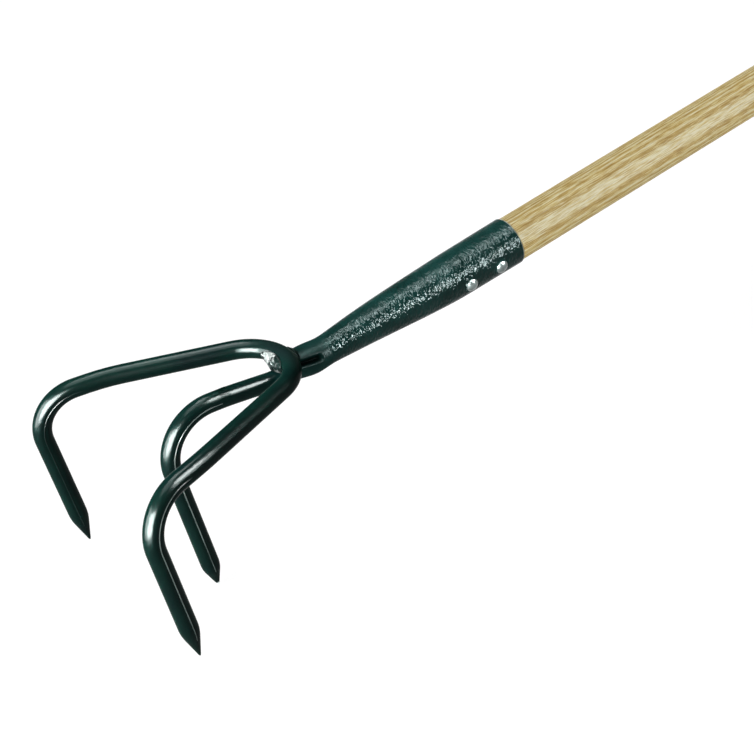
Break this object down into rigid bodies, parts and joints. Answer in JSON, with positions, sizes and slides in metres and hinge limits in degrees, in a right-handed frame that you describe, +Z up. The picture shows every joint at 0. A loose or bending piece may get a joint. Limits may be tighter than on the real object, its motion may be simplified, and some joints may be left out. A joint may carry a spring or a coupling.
{
  "type": "garden cultivator",
  "caption": "Long handled garden cultivator with pointed round-bar tines hooked square to a wooden shaft, joined by a riveted tapering steel socket.",
  "frame": {"origin": "middle of the bounding box's base, under the handle, level with the tip of the centre tine", "axes": "+X along the handle away from the tines, +Z up, square to the handle and opposite to the legs of the tines, +Y across the tines"},
  "size_m": [1.5787, 0.158, 0.1424],
  "materials": {
    "ash_wood": "sanded ash under a thin clear lacquer, with open straight grain",
    "green_hammertone": "dark green hammer-finish paint on pressed steel",
    "green_enamel": "glossy dark green enamel on round steel bar",
    "weld_metal": "bright rough weld metal, bare of paint",
    "zinced_steel": "satin zinc-plated steel"
  },
  "bodies": {
    "root": {"handle": "ash_wood", "socket": "green_hammertone", "outer_tine_bar": "green_enamel", "centre_tine": "green_enamel", "crotch_weld": "weld_metal", "neck_weld": "green_enamel", "rivet_rear": "zinced_steel", "rivet_front": "zinced_steel"}
  },
  "joints": []
}
